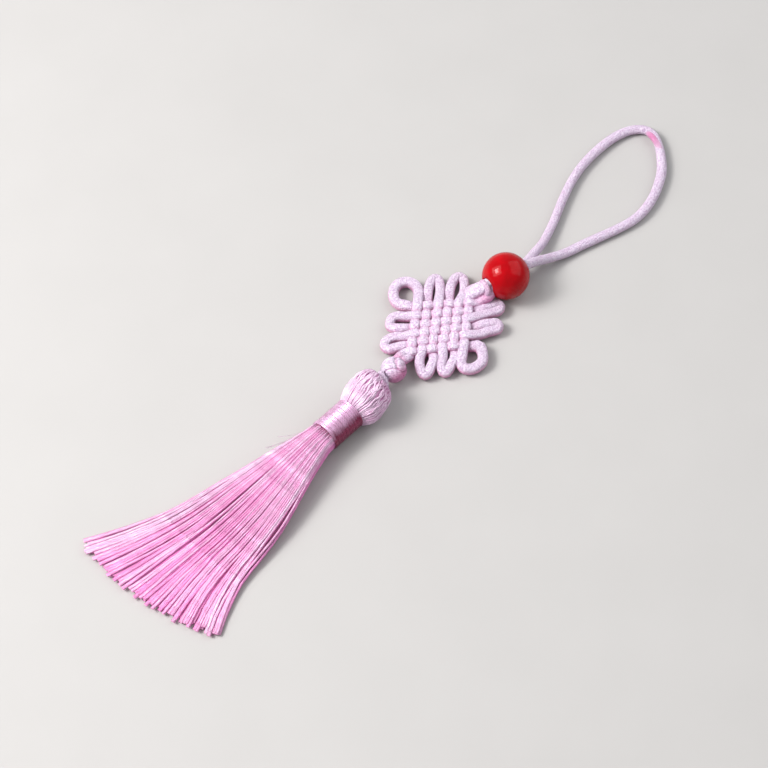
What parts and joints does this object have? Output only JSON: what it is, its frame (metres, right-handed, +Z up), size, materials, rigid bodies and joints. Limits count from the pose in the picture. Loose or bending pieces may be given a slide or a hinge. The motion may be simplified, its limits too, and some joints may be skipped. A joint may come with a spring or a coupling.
{
  "type": "silk tassel",
  "caption": "Pink silk tassel with a satin hanging loop, a glossy red bead, an endless knot with looped ears, a button knot and a thread-bound neck, lying flat.",
  "frame": {"origin": "on the surface that the tassel lies on, under the middle of its outline without the hanging loop", "axes": "+X from the skirt's cut ends to the hanging loop, +Y across the pendant, +Z up off the surface, out of the face that shows"},
  "size_m": [0.1942, 0.0402, 0.0114],
  "materials": {
    "satin_cord": "satin knotting cord with a soft sheen",
    "red_bead": "polished to a high gloss",
    "silk_skein": "fine lustrous silk strands",
    "binding_thread": "shiny thread wound in close turns"
  },
  "bodies": {
    "root": {"hanging_loop": "satin_cord", "bead": "red_bead", "knotted_cord": "satin_cord", "tassel": "silk_skein", "neck_binding": "binding_thread"}
  },
  "joints": []
}
